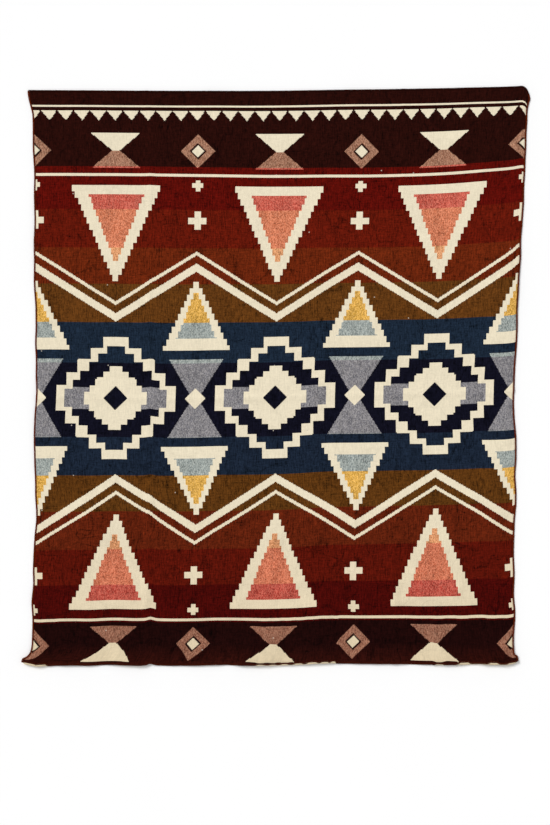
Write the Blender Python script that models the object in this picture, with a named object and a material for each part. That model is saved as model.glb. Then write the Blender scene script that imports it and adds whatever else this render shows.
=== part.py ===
"""A woven alpaca throw, laid out face up on a flat surface.

The throw is one sheet of cloth with an overlocked edging sewn along each of
its four sides. Metres, +Z up. The origin is on the surface under the middle
of the throw, +Y points to its top edge and -Y to its hem.
"""

import math

import bmesh
import bpy
from mathutils import Vector

# Driving dimensions, in metres. The length is that of the cloth as it lies.
CLOTH_WIDTH = 1.600
CLOTH_LENGTH = 1.897
CLOTH_THICKNESS = 0.003
EDGING_WIDTH = 0.005
EDGING_HEIGHT = 0.0042
SEAM_GAP = 0.0003

# The cloth rests on the surface wherever its folds would lift it by less.
RESTING_DEPTH = 0.0012

# Spacing of the columns and rows of faces, with closer rows near the hem, and
# the distances from each side of further ones that shape the corners.
COLUMN_PITCH = 0.040
ROW_PITCH = 0.048
HEM_ROW_PITCH = 0.026
HEM_ZONE = 0.180
RIM_STEPS = (0.006, 0.014, 0.025)

# A crease is this wide from its crest to its foot, with no other column or
# row of faces nearer to its crest than the clearance.
CREASE_HALF_WIDTH = 0.016
CREASE_CLEARANCE = 0.026

# The long sides: how far the left and the right side, edging included, lie
# from the middle line, at each distance down from the top edge.
SIDE_COLUMNS = ("down", "left", "right")
SIDES = (
    (0.000, 0.8180, 0.8380),
    (0.008, 0.8178, 0.8405),
    (0.028, 0.8145, 0.8371),
    (0.042, 0.8115, 0.8350),
    (0.060, 0.8070, 0.8322),
    (0.080, 0.8033, 0.8310),
    (0.130, 0.8018, 0.8310),
    (0.200, 0.7992, 0.8278),
    (0.350, 0.7968, 0.8208),
    (0.515, 0.7964, 0.8124),
    (0.633, 0.7972, 0.8070),
    (0.782, 0.7933, 0.7997),
    (0.885, 0.7914, 0.7960),
    (0.996, 0.7922, 0.7893),
    (1.095, 0.7965, 0.7898),
    (1.201, 0.7988, 0.7938),
    (1.306, 0.7924, 0.7932),
    (1.400, 0.7902, 0.7940),
    (1.465, 0.7958, 0.7908),
    (1.574, 0.8004, 0.7875),
    (1.650, 0.8015, 0.7866),
    (1.729, 0.8052, 0.7900),
    (1.808, 0.8030, 0.7893),
    (1.848, 0.8090, 0.7886),
    (1.868, 0.8180, 0.7905),
    (1.880, 0.8300, 0.7985),
    (1.897, 0.8380, 0.7998),
)

# The top side: how far the edging rises over a straight line, at each
# distance across from the middle.
TOP_COLUMNS = ("across", "rise")
TOP = (
    (-0.818, -0.0047),
    (-0.700, -0.0054),
    (-0.560, -0.0062),
    (-0.410, -0.0069),
    (-0.214, -0.0076),
    (-0.040, -0.0073),
    (0.083, -0.0059),
    (0.181, -0.0041),
    (0.330, -0.0023),
    (0.480, 0.0000),
    (0.627, 0.0031),
    (0.743, 0.0060),
    (0.800, 0.0081),
    (0.815, 0.0088),
    (0.823, 0.0050),
    (0.829, -0.0030),
    (0.838, -0.0231),
)

# The hem: how far its edging drops below a straight line.
HEM_COLUMNS = ("across", "drop")
HEM = (
    (-0.838, -0.0063),
    (-0.828, 0.0019),
    (-0.815, 0.0058),
    (-0.789, 0.0112),
    (-0.743, 0.0099),
    (-0.660, 0.0089),
    (-0.611, 0.0095),
    (-0.536, 0.0065),
    (-0.462, 0.0082),
    (-0.430, 0.0070),
    (-0.412, 0.0030),
    (-0.394, 0.0080),
    (-0.363, 0.0097),
    (-0.264, 0.0094),
    (-0.190, 0.0073),
    (-0.040, 0.0087),
    (0.033, 0.0075),
    (0.083, 0.0057),
    (0.132, 0.0025),
    (0.181, 0.0013),
    (0.280, 0.0035),
    (0.429, 0.0044),
    (0.478, 0.0060),
    (0.627, 0.0057),
    (0.676, 0.0044),
    (0.710, 0.0059),
    (0.759, 0.0062),
    (0.775, 0.0043),
    (0.786, 0.0020),
    (0.795, -0.0045),
    (0.800, -0.0090),
)

# Creases from folding the throw for storage, as low ridges right across it.
# The place of a lengthwise one is measured across from the middle line, and
# that of a crosswise one down from the top edge.
CREASES = (
    # runs, place, lift
    ("lengthwise", -0.422, 0.0040),
    ("lengthwise", 0.403, 0.0036),
    ("crosswise", 1.013, 0.0042),
)

# Soft folds. The heading is the direction of the crest in degrees from +X,
# and the length and the width run from foot to foot.
FOLDS = (
    # across, down, heading, length, width, lift
    (-0.62, 0.16, 84, 0.56, 0.28, 0.0060),
    (-0.20, 0.10, 96, 0.46, 0.32, 0.0050),
    (0.24, 0.13, 82, 0.54, 0.30, 0.0065),
    (0.64, 0.17, 97, 0.62, 0.28, 0.0070),
    (-0.76, 0.42, 78, 0.56, 0.22, 0.0070),
    (0.10, 0.52, 101, 0.74, 0.36, 0.0055),
    (0.74, 0.60, 99, 0.68, 0.24, 0.0070),
    (-0.55, 0.80, 12, 0.68, 0.28, 0.0050),
    (0.58, 0.88, -14, 0.62, 0.28, 0.0050),
    (-0.76, 1.10, 95, 0.62, 0.22, 0.0065),
    (-0.14, 1.20, 80, 0.68, 0.34, 0.0055),
    (0.72, 1.30, 86, 0.74, 0.24, 0.0070),
    (-0.60, 1.42, 24, 0.62, 0.24, 0.0065),
    (0.28, 1.45, -22, 0.68, 0.26, 0.0060),
    (-0.28, 1.62, 6, 0.74, 0.20, 0.0070),
    (0.50, 1.66, -8, 0.74, 0.20, 0.0075),
    (-0.70, 1.70, -16, 0.52, 0.19, 0.0070),
    (0.08, 1.75, 14, 0.62, 0.18, 0.0070),
)

# Waves that lift the hem off the surface and die out up the cloth.
HEM_WAVES = (
    # across, width, reach, lift
    (-0.80, 0.24, 0.17, 0.0095),
    (-0.63, 0.22, 0.12, 0.0060),
    (-0.44, 0.28, 0.15, 0.0075),
    (-0.22, 0.22, 0.12, 0.0060),
    (-0.03, 0.24, 0.17, 0.0095),
    (0.14, 0.22, 0.15, 0.0085),
    (0.36, 0.26, 0.12, 0.0065),
    (0.57, 0.20, 0.14, 0.0075),
    (0.75, 0.24, 0.17, 0.0100),
)

# The edging's rounded section, anticlockwise from the cloth's lower corner:
# shares of its width out from the cloth, and of its height up.
EDGING_SECTION = (
    # out, up
    (0.00, 0.00),
    (0.75, 0.00),
    (1.00, 0.35),
    (0.80, 0.85),
    (0.50, 1.00),
    (0.00, 0.80),
)

# Surface colours, as linear red, green and blue.
CLOTH_COLOUR = (0.110, 0.018, 0.008)
EDGING_COLOUR = (0.069, 0.010, 0.003)


def clear_scene():
    """Remove every object, so that the throw is all that the scene holds."""
    for item in list(bpy.data.objects):
        bpy.data.objects.remove(item, do_unlink=True)


def yarn_material(name, colour, roughness):
    """Return a matt woollen material."""
    material = bpy.data.materials.new(name)
    material.use_nodes = True
    shader = material.node_tree.nodes["Principled BSDF"]
    shader.inputs["Base Color"].default_value = (*colour, 1.0)
    shader.inputs["Roughness"].default_value = roughness
    shader.inputs["Metallic"].default_value = 0.0
    material.diffuse_color = (*colour, 1.0)
    return material


def curve_value(rows, columns, name, at):
    """Read a smooth curve through a table's named column at a place."""
    column = columns.index(name)
    last = len(rows) - 1
    at = min(max(at, rows[0][0]), rows[last][0])
    span = 0
    while span < last - 1 and at > rows[span + 1][0]:
        span += 1

    def slope(row):
        before = rows[max(row - 1, 0)]
        after = rows[min(row + 1, last)]
        return (after[column] - before[column]) / (after[0] - before[0])

    start, end = rows[span], rows[span + 1]
    width = end[0] - start[0]
    t = (at - start[0]) / width
    return (
        (2 * t**3 - 3 * t**2 + 1) * start[column]
        + (t**3 - 2 * t**2 + t) * width * slope(span)
        + (3 * t**2 - 2 * t**3) * end[column]
        + (t**3 - t**2) * width * slope(span + 1)
    )


def bump(distance, extent):
    """Return a soft bump: 1 on its crest, and 0 at half its extent and beyond."""
    return math.cos(math.pi * min(abs(distance) / extent, 0.5)) ** 2


def crease_lift(across, down):
    """Return how high the storage creases lift the cloth."""
    lift = 0.0
    for runs, place, height in CREASES:
        distance = (across if runs == "lengthwise" else down) - place
        lift += height * max(0.0, 1.0 - abs(distance) / CREASE_HALF_WIDTH)
    return lift


def fold_lift(across, down):
    """Return how high the soft folds lift the cloth."""
    lift = 0.0
    for middle, below, heading, length, width, height in FOLDS:
        turn = math.radians(heading)
        right, up = across - middle, below - down
        along = right * math.cos(turn) + up * math.sin(turn)
        aside = up * math.cos(turn) - right * math.sin(turn)
        lift += height * bump(along, length) * bump(aside, width)
    return lift


def hem_lift(across, down):
    """Return how high the waves of the hem lift the cloth."""
    from_hem = CLOTH_LENGTH - down
    lift = 0.0
    for middle, width, reach, height in HEM_WAVES:
        lift += height * bump(across - middle, width) * bump(from_hem, 2 * reach)
    return lift


def underside(across, down):
    """Return the height of the cloth's underside over the surface."""
    lift = crease_lift(across, down) + fold_lift(across, down) + hem_lift(across, down)
    return max(0.0, lift - RESTING_DEPTH)


def crease_places(direction):
    """Return where the creases of one direction lie."""
    return [place for runs, place, lift in CREASES if runs == direction]


def stations(start, end, pitch, fine_from, fine_pitch, creases):
    """Divide a stretch into steps, closer at its ends and on each crease."""
    places = [start]
    while places[-1] < end:
        places.append(places[-1] + (fine_pitch if places[-1] >= fine_from else pitch))
    shrink = (end - start) / (places[-1] - start)
    places = [start + (place - start) * shrink for place in places]
    clear = RIM_STEPS[-1] + RIM_STEPS[0]
    places = [place for place in places if start + clear < place < end - clear]
    places += [start, end]
    for step in RIM_STEPS:
        places += [start + step, end - step]
    for crest in creases:
        places = [place for place in places if abs(place - crest) > CREASE_CLEARANCE]
        places += [crest - CREASE_HALF_WIDTH, crest, crest + CREASE_HALF_WIDTH]
    return sorted(places)


def cloth_point(across, down):
    """Return where a point of the flat cloth lies on the surface, and its lift."""
    edging = SEAM_GAP + EDGING_WIDTH
    left = edging - curve_value(SIDES, SIDE_COLUMNS, "left", down)
    right = curve_value(SIDES, SIDE_COLUMNS, "right", down) - edging
    x = left + (across / CLOTH_WIDTH + 0.5) * (right - left)
    rise = curve_value(TOP, TOP_COLUMNS, "rise", x) - edging
    drop = curve_value(HEM, HEM_COLUMNS, "drop", x) - edging
    part_way = down / CLOTH_LENGTH
    y = CLOTH_LENGTH / 2 - down + rise * (1 - part_way) - drop * part_way
    return Vector((x, y, underside(across, down)))


def cloth_grid():
    """Return the underside's points, row by row from the top edge, centred."""
    half = CLOTH_WIDTH / 2
    lengthwise, crosswise = crease_places("lengthwise"), crease_places("crosswise")
    hem_zone = CLOTH_LENGTH - HEM_ZONE
    columns = stations(-half, half, COLUMN_PITCH, half, COLUMN_PITCH, lengthwise)
    rows = stations(0.0, CLOTH_LENGTH, ROW_PITCH, hem_zone, HEM_ROW_PITCH, crosswise)
    grid = [[cloth_point(across, down) for across in columns] for down in rows]
    every = [point for row in grid for point in row]
    low_x, high_x = min(p.x for p in every), max(p.x for p in every)
    low_y, high_y = min(p.y for p in every), max(p.y for p in every)
    middle = Vector(((low_x + high_x) / 2, (low_y + high_y) / 2, 0.0))
    return [[point - middle for point in row] for row in grid]


def finish_object(name, shape, sharp_angle, material):
    """Turn a finished shape into a smooth shaded object of its own."""
    bmesh.ops.recalc_face_normals(shape, faces=shape.faces)
    bmesh.ops.triangulate(shape, faces=shape.faces)
    mesh = bpy.data.meshes.new(name)
    shape.to_mesh(mesh)
    shape.free()
    mesh.shade_smooth()
    mesh.set_sharp_from_angle(angle=math.radians(sharp_angle))
    mesh.materials.append(material)
    item = bpy.data.objects.new(name, mesh)
    bpy.context.scene.collection.objects.link(item)
    return item


def build_cloth(grid, material):
    """Make the sheet: a grid of faces, extruded up by the cloth's thickness."""
    shape = bmesh.new()
    rows = [[shape.verts.new(point) for point in row] for row in grid]
    for row, next_row in zip(rows, rows[1:]):
        for step in range(len(row) - 1):
            corners = (row[step], row[step + 1], next_row[step + 1], next_row[step])
            shape.faces.new(corners)
    raised = bmesh.ops.extrude_face_region(shape, geom=shape.faces[:])
    face_side = [item for item in raised["geom"] if isinstance(item, bmesh.types.BMVert)]
    bmesh.ops.translate(shape, verts=face_side, vec=(0.0, 0.0, CLOTH_THICKNESS))
    return finish_object("throw_cloth", shape, 40, material)


def rim_loop(grid):
    """Return the cloth's rim, anticlockwise from its lower left corner.

    The second value holds each corner's place in the loop, and the first
    corner's place again after a full turn.
    """
    hem = grid[-1][:-1]
    right = [row[-1] for row in reversed(grid)][:-1]
    top = grid[0][:0:-1]
    left = [row[0] for row in grid][:-1]
    corners = [0]
    for side in (hem, right, top, left):
        corners.append(corners[-1] + len(side))
    return hem + right + top + left, corners


def direction(start, end):
    """Return the plan direction from one point to another."""
    return Vector((end.x - start.x, end.y - start.y)).normalized()


def outward(before, here, after):
    """Return the plan step out of the rim that is 1 m clear of both its edges."""
    arriving, leaving = direction(before, here), direction(here, after)
    first_normal = Vector((arriving.y, -arriving.x))
    second_normal = Vector((leaving.y, -leaving.x))
    bisector = (first_normal + second_normal).normalized()
    return bisector / bisector.dot(first_normal)


def build_edging(name, loop, start, end, material):
    """Sweep the edging's section along the cloth's rim, from corner to corner."""
    shape = bmesh.new()
    rings = []
    for place in range(start, end + 1):
        before, here, after = (loop[(place + step) % len(loop)] for step in (-1, 0, 1))
        step_out = outward(before, here, after)
        clear = Vector((0.0, 0.0))
        if place == start:
            clear = direction(here, after) * SEAM_GAP
        if place == end:
            clear = direction(here, before) * SEAM_GAP
        ring = []
        for out, up in EDGING_SECTION:
            distance = SEAM_GAP + out * EDGING_WIDTH
            x = here.x + step_out.x * distance + clear.x
            y = here.y + step_out.y * distance + clear.y
            ring.append(shape.verts.new((x, y, here.z + up * EDGING_HEIGHT)))
        rings.append(ring)
    for ring, next_ring in zip(rings, rings[1:]):
        for side in range(len(ring)):
            beside = (side + 1) % len(ring)
            shape.faces.new((ring[side], ring[beside], next_ring[beside], next_ring[side]))
    shape.faces.new(rings[0])
    shape.faces.new(rings[-1])
    return finish_object(name, shape, 50, material)


def main():
    clear_scene()
    grid = cloth_grid()
    cloth = build_cloth(grid, yarn_material("cloth", CLOTH_COLOUR, 0.9))
    edging_yarn = yarn_material("edging_yarn", EDGING_COLOUR, 0.85)
    loop, corners = rim_loop(grid)
    for side, start, end in zip(("hem", "right", "top", "left"), corners, corners[1:]):
        strip = build_edging("edging_" + side, loop, start, end, edging_yarn)
        strip.parent = cloth


main()
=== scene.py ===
"""The alpaca throw's woven cloth and overlocked edging, laid out face up.

Metres, +Z up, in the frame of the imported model: the origin lies on the
surface under the middle of the throw, and +Y points to its top edge.
"""

import math

import bpy
import numpy as np
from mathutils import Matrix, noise


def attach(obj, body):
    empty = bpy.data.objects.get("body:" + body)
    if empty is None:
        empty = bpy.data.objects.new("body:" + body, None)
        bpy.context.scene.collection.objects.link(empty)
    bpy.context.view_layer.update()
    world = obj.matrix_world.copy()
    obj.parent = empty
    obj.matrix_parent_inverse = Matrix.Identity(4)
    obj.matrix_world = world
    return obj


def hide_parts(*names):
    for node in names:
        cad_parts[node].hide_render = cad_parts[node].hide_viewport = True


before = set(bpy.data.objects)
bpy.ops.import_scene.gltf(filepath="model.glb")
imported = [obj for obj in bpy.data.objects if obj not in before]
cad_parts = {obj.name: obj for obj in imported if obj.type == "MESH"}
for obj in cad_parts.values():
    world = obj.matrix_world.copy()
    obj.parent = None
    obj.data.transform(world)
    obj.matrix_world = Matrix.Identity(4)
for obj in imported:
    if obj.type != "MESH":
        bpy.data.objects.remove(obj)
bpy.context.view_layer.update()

# The cloth's driving sizes.
CLOTH_WIDTH = 1.600
CLOTH_LENGTH = 1.897
CLOTH_THICKNESS = 0.0024
NAP_DEPTH = 0.0002
RESTING_DEPTH = 0.0012
CREASE_HALF_WIDTH = 0.016

# The stitches round the rim reach this far beyond it, and their thread lifts
# it by its own thickness.
STITCH_REACH_OUT = 0.0027
RIM_ZONE = 0.012
THREAD_THICKNESS = 0.0011

# Faces across and down the sheet. The last rows are short ones, so that the
# hem can roll over in them.
COLUMNS = 196
LONG_ROWS = 208
LIP_ROWS = 20
LIP_LENGTH = 0.015
LIP_START = 0.004
LIP_RADIUS = 0.0018

# The lifted hem is drawn in this far from the solid's hem. Its slack is taken
# up over a stretch of the cloth above the lip.
HEM_DRAWN_IN = 0.0022
HEM_SLACK_REACH = 0.2

# Each side wavers about the solid's side by up to this much, in so many waves
# to a metre, and more so near the hem. The waver dies out this far in.
SIDE_RIPPLE = 0.0042
RIPPLE_WAVES = 13.0
RIPPLE_REACH = 0.09
RIPPLE_SHARE_AT_TOP = 0.6
RIPPLE_MORE_AT_HEM = 0.5

# The small unevenness of soft cloth: how high its broad swells, its crumples
# and its fine grain stand.
BROAD_SLACK = 0.0009
CRUMPLED_SLACK = 0.0005
FINE_SLACK = 0.0003

# The long sides: how far the left and the right side, edging included, lie
# from the middle line, at each distance down from the top edge.
SIDE_COLUMNS = ("down", "left", "right")
SIDES = (
    (0.000, 0.8180, 0.8380),
    (0.008, 0.8178, 0.8405),
    (0.028, 0.8145, 0.8371),
    (0.042, 0.8115, 0.8350),
    (0.060, 0.8070, 0.8322),
    (0.080, 0.8033, 0.8310),
    (0.130, 0.8018, 0.8310),
    (0.200, 0.7992, 0.8278),
    (0.350, 0.7968, 0.8208),
    (0.515, 0.7964, 0.8124),
    (0.633, 0.7972, 0.8070),
    (0.782, 0.7933, 0.7997),
    (0.885, 0.7914, 0.7960),
    (0.996, 0.7922, 0.7893),
    (1.095, 0.7965, 0.7898),
    (1.201, 0.7988, 0.7938),
    (1.306, 0.7924, 0.7932),
    (1.400, 0.7902, 0.7940),
    (1.465, 0.7958, 0.7908),
    (1.574, 0.8004, 0.7875),
    (1.650, 0.8015, 0.7866),
    (1.729, 0.8052, 0.7900),
    (1.808, 0.8030, 0.7893),
    (1.848, 0.8100, 0.7886),
    (1.868, 0.8215, 0.7905),
    (1.880, 0.8350, 0.7985),
    (1.897, 0.8400, 0.7998),
)

# The top side: how far the edging rises over a straight line, at each
# distance across from the middle.
TOP_COLUMNS = ("across", "rise")
TOP = (
    (-0.818, -0.0047),
    (-0.700, -0.0054),
    (-0.560, -0.0062),
    (-0.410, -0.0069),
    (-0.214, -0.0076),
    (-0.040, -0.0073),
    (0.083, -0.0059),
    (0.181, -0.0041),
    (0.330, -0.0023),
    (0.480, 0.0000),
    (0.627, 0.0031),
    (0.743, 0.0060),
    (0.800, 0.0081),
    (0.815, 0.0088),
    (0.823, 0.0050),
    (0.829, -0.0030),
    (0.838, -0.0231),
)

# The hem: how far its edging drops below a straight line.
HEM_COLUMNS = ("across", "drop")
HEM = (
    (-0.838, -0.0063),
    (-0.828, 0.0019),
    (-0.815, 0.0058),
    (-0.789, 0.0112),
    (-0.743, 0.0099),
    (-0.660, 0.0089),
    (-0.611, 0.0095),
    (-0.536, 0.0065),
    (-0.462, 0.0082),
    (-0.430, 0.0070),
    (-0.412, 0.0030),
    (-0.394, 0.0080),
    (-0.363, 0.0097),
    (-0.264, 0.0094),
    (-0.190, 0.0073),
    (-0.040, 0.0087),
    (0.033, 0.0075),
    (0.083, 0.0057),
    (0.132, 0.0025),
    (0.181, 0.0013),
    (0.280, 0.0035),
    (0.429, 0.0044),
    (0.478, 0.0060),
    (0.627, 0.0057),
    (0.676, 0.0044),
    (0.710, 0.0059),
    (0.759, 0.0062),
    (0.775, 0.0043),
    (0.786, 0.0020),
    (0.795, -0.0045),
    (0.800, -0.0090),
)

# How far the crosswise threads have drifted up the cloth, at each distance
# across: near the top, at the middle and near the hem.
DRIFT_COLUMNS = ("across", "high", "middle", "low")
DRIFT = (
    (-0.80, 0.003, 0.000, -0.006),
    (-0.40, 0.003, -0.004, -0.004),
    (0.00, -0.002, 0.000, 0.000),
    (0.30, -0.005, 0.004, 0.008),
    (0.55, 0.000, 0.006, 0.014),
    (0.80, 0.015, 0.012, 0.020),
)
DRIFT_DOWN = (0.0, 0.25, 1.0, 1.5, CLOTH_LENGTH)

# Storage creases, as low ridges right across the cloth.
CREASES = (
    # runs, place, lift
    ("lengthwise", -0.422, 0.0040),
    ("lengthwise", 0.403, 0.0036),
    ("crosswise", 1.013, 0.0042),
)

# Soft folds, with the crest's heading in degrees from +X.
FOLDS = (
    # across, down, heading, length, width, lift
    (-0.62, 0.16, 84, 0.56, 0.28, 0.0060),
    (-0.20, 0.10, 96, 0.46, 0.32, 0.0050),
    (0.24, 0.13, 82, 0.54, 0.30, 0.0065),
    (0.64, 0.17, 97, 0.62, 0.28, 0.0070),
    (-0.76, 0.42, 78, 0.56, 0.22, 0.0070),
    (0.10, 0.52, 101, 0.74, 0.36, 0.0055),
    (0.74, 0.60, 99, 0.68, 0.24, 0.0070),
    (-0.55, 0.80, 12, 0.68, 0.28, 0.0050),
    (0.58, 0.88, -14, 0.62, 0.28, 0.0050),
    (-0.76, 1.10, 95, 0.62, 0.22, 0.0065),
    (-0.14, 1.20, 80, 0.68, 0.34, 0.0055),
    (0.72, 1.30, 86, 0.74, 0.24, 0.0070),
    (-0.60, 1.42, 24, 0.62, 0.24, 0.0065),
    (0.28, 1.45, -22, 0.68, 0.26, 0.0060),
    (-0.28, 1.62, 6, 0.74, 0.20, 0.0070),
    (0.50, 1.66, -8, 0.74, 0.20, 0.0075),
    (-0.70, 1.70, -16, 0.52, 0.19, 0.0070),
    (0.08, 1.75, 14, 0.62, 0.18, 0.0070),
)

# Finer wrinkles in the same columns, most of them in the lower part.
WRINKLES = (
    # across, down, heading, length, width, lift
    (-0.70, 0.95, 70, 0.22, 0.050, 0.0016),
    (-0.58, 1.50, 120, 0.16, 0.045, 0.0018),
    (-0.66, 1.60, 35, 0.20, 0.045, 0.0022),
    (-0.52, 1.70, 150, 0.18, 0.050, 0.0022),
    (-0.40, 1.56, 60, 0.16, 0.045, 0.0018),
    (-0.30, 1.74, 20, 0.22, 0.050, 0.0024),
    (-0.16, 1.60, 130, 0.18, 0.045, 0.0020),
    (-0.12, 1.70, 45, 0.16, 0.040, 0.0022),
    (0.02, 1.48, 80, 0.20, 0.050, 0.0016),
    (0.10, 1.62, 30, 0.18, 0.045, 0.0022),
    (0.20, 1.74, 145, 0.20, 0.045, 0.0022),
    (0.30, 1.58, 70, 0.16, 0.045, 0.0018),
    (0.42, 1.70, 15, 0.22, 0.050, 0.0024),
    (0.56, 1.52, 125, 0.18, 0.045, 0.0018),
    (0.62, 1.66, 55, 0.16, 0.040, 0.0022),
    (0.70, 1.76, 160, 0.20, 0.050, 0.0022),
    (0.44, 1.24, 100, 0.18, 0.050, 0.0014),
    (-0.46, 1.28, 85, 0.20, 0.050, 0.0014),
    (0.14, 0.34, 75, 0.20, 0.050, 0.0014),
    (-0.36, 0.46, 105, 0.22, 0.050, 0.0014),
    (0.60, 0.36, 115, 0.20, 0.050, 0.0016),
    (0.76, 0.10, 55, 0.20, 0.050, 0.0024),
    (-0.74, 0.24, 130, 0.16, 0.045, 0.0016),
    (0.34, 0.74, 60, 0.18, 0.050, 0.0012),
)

# Waves that lift the hem off the surface and die out up the cloth, the long
# ones of the solid first and then short ones that crimp its edge.
HEM_WAVES = (
    # across, width, reach, lift
    (-0.80, 0.24, 0.17, 0.0095),
    (-0.63, 0.22, 0.12, 0.0060),
    (-0.44, 0.28, 0.15, 0.0075),
    (-0.22, 0.22, 0.12, 0.0060),
    (-0.03, 0.24, 0.17, 0.0095),
    (0.14, 0.22, 0.15, 0.0085),
    (0.36, 0.26, 0.12, 0.0065),
    (0.57, 0.20, 0.14, 0.0075),
    (0.75, 0.24, 0.17, 0.0100),
)
HEM_CRIMPS = (
    # across, width, reach, lift
    (-0.745, 0.060, 0.060, 0.0030),
    (-0.660, 0.070, 0.050, 0.0025),
    (-0.575, 0.080, 0.060, 0.0030),
    (-0.500, 0.060, 0.045, 0.0025),
    (-0.390, 0.080, 0.060, 0.0030),
    (-0.310, 0.060, 0.050, 0.0028),
    (-0.170, 0.070, 0.050, 0.0028),
    (-0.090, 0.060, 0.045, 0.0030),
    (0.060, 0.070, 0.055, 0.0030),
    (0.190, 0.060, 0.050, 0.0025),
    (0.280, 0.080, 0.060, 0.0030),
    (0.430, 0.070, 0.050, 0.0028),
    (0.500, 0.060, 0.045, 0.0025),
    (0.620, 0.070, 0.055, 0.0030),
    (0.700, 0.060, 0.050, 0.0030),
)

# Where the very edge of the hem rolls over: long soft stretches first, and then
# the places in them where it shows its reverse.
HEM_LIPS = (
    # across, width, roll
    (-0.780, 0.240, 0.52),
    (0.070, 0.520, 0.52),
    (0.700, 0.400, 0.52),
    (-0.440, 0.160, 0.35),
    (-0.776, 0.080, 0.96),
    (-0.738, 0.070, 0.90),
    (-0.030, 0.050, 0.68),
    (0.010, 0.045, 0.64),
    (0.048, 0.050, 0.70),
    (0.092, 0.060, 0.80),
    (0.137, 0.070, 0.90),
    (0.178, 0.055, 0.84),
    (0.205, 0.036, 0.95),
    (0.548, 0.060, 0.60),
    (0.629, 0.075, 0.97),
    (0.724, 0.066, 0.97),
    (0.780, 0.050, 0.80),
)
FULL_ROLL = math.pi
LIP_STEPS = 40

# A roll is even over the middle of its width, and where rolls overlap, the
# larger one all but hides the smaller.
ROLL_EVENNESS = 1.4
ROLL_BLEND = 6


def read_curve(rows, columns, name, at):
    """Read a smooth curve through a table's named column at many places."""
    column = columns.index(name)
    places = np.array([row[0] for row in rows])
    values = np.array([row[column] for row in rows])
    slopes = np.empty_like(values)
    slopes[1:-1] = (values[2:] - values[:-2]) / (places[2:] - places[:-2])
    slopes[0] = (values[1] - values[0]) / (places[1] - places[0])
    slopes[-1] = (values[-1] - values[-2]) / (places[-1] - places[-2])
    at = np.clip(at, places[0], places[-1])
    span = np.clip(np.searchsorted(places, at) - 1, 0, len(places) - 2)
    width = places[span + 1] - places[span]
    t = (at - places[span]) / width
    return (
        (2 * t**3 - 3 * t**2 + 1) * values[span]
        + (t**3 - 2 * t**2 + t) * width * slopes[span]
        + (3 * t**2 - 2 * t**3) * values[span + 1]
        + (t**3 - t**2) * width * slopes[span + 1]
    )


def bump(distance, extent):
    """Return a soft bump: 1 on its crest, and 0 at half its extent and beyond."""
    return np.cos(np.pi * np.minimum(np.abs(distance) / extent, 0.5)) ** 2


def ease(value, start, end):
    """Rise smoothly from 0 at start to 1 at end."""
    t = np.clip((value - start) / (end - start), 0.0, 1.0)
    return t * t * (3 - 2 * t)


def crease_lift(across, down):
    """Return how high the storage creases lift the cloth."""
    lift = 0.0
    for runs, place, height in CREASES:
        distance = (across if runs == "lengthwise" else down) - place
        lift = lift + height * np.maximum(0.0, 1.0 - np.abs(distance) / CREASE_HALF_WIDTH)
    return lift


def ridge_lift(rows, across, down):
    """Return how high a table of soft ridges lifts the cloth."""
    lift = 0.0
    for middle, below, heading, length, width, height in rows:
        turn = math.radians(heading)
        right, up = across - middle, below - down
        along = right * math.cos(turn) + up * math.sin(turn)
        aside = up * math.cos(turn) - right * math.sin(turn)
        lift = lift + height * bump(along, length) * bump(aside, width)
    return lift


def hem_lift(rows, across, down):
    """Return how high a table of waves lifts the cloth near its hem."""
    from_hem = CLOTH_LENGTH - down
    lift = 0.0
    for middle, width, reach, height in rows:
        lift = lift + height * bump(across - middle, width) * bump(from_hem, 2 * reach)
    return lift


def uneven(across, down):
    """Return the small unevenness of soft cloth that lies by its own weight."""
    slack = []
    for a, d in zip(across.ravel(), down.ravel()):
        broad = noise.noise((a * 9.0, d * 7.0, 1.7))
        crumpled = abs(noise.noise((a * 24.0 + d * 6.0, d * 19.0, 4.2)))
        fine = noise.noise((a * 52.0, d * 47.0, 8.4))
        slack.append(BROAD_SLACK * broad + CRUMPLED_SLACK * crumpled + FINE_SLACK * fine)
    return np.array(slack).reshape(across.shape)


def underside(across, down):
    """Return the height of the cloth's underside over the surface."""
    lift = (
        crease_lift(across, down)
        + ridge_lift(FOLDS, across, down)
        + hem_lift(HEM_WAVES, across, down)
        - RESTING_DEPTH
    )
    fine = ridge_lift(WRINKLES, across, down) + hem_lift(HEM_CRIMPS, across, down)
    return np.maximum(0.0, np.maximum(0.0, lift) + fine + uneven(across, down))


def drift(across, down):
    """Return how far the crosswise threads have drifted up the cloth."""
    lifts = [np.zeros_like(across)]
    for name in ("high", "middle", "low"):
        lifts.append(read_curve(DRIFT, DRIFT_COLUMNS, name, across))
    lifts.append(np.zeros_like(across))
    total = np.zeros_like(across)
    for place in range(len(DRIFT_DOWN) - 1):
        start, end = DRIFT_DOWN[place], DRIFT_DOWN[place + 1]
        share = ease(down, start, end)
        inside = (down >= start) & (down <= end)
        between = lifts[place] * (1 - share) + lifts[place + 1] * share
        total = np.where(inside, between, total)
    return total


def roll_of_hem(across):
    """Return how far the hem's edge rolls over, from 0 to 1."""
    powers = np.zeros_like(across)
    for middle, width, amount in HEM_LIPS:
        share = np.minimum(1.0, ROLL_EVENNESS * bump(across - middle, width))
        powers = powers + (amount * share) ** ROLL_BLEND
    return np.minimum(1.0, powers ** (1 / ROLL_BLEND))


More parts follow.
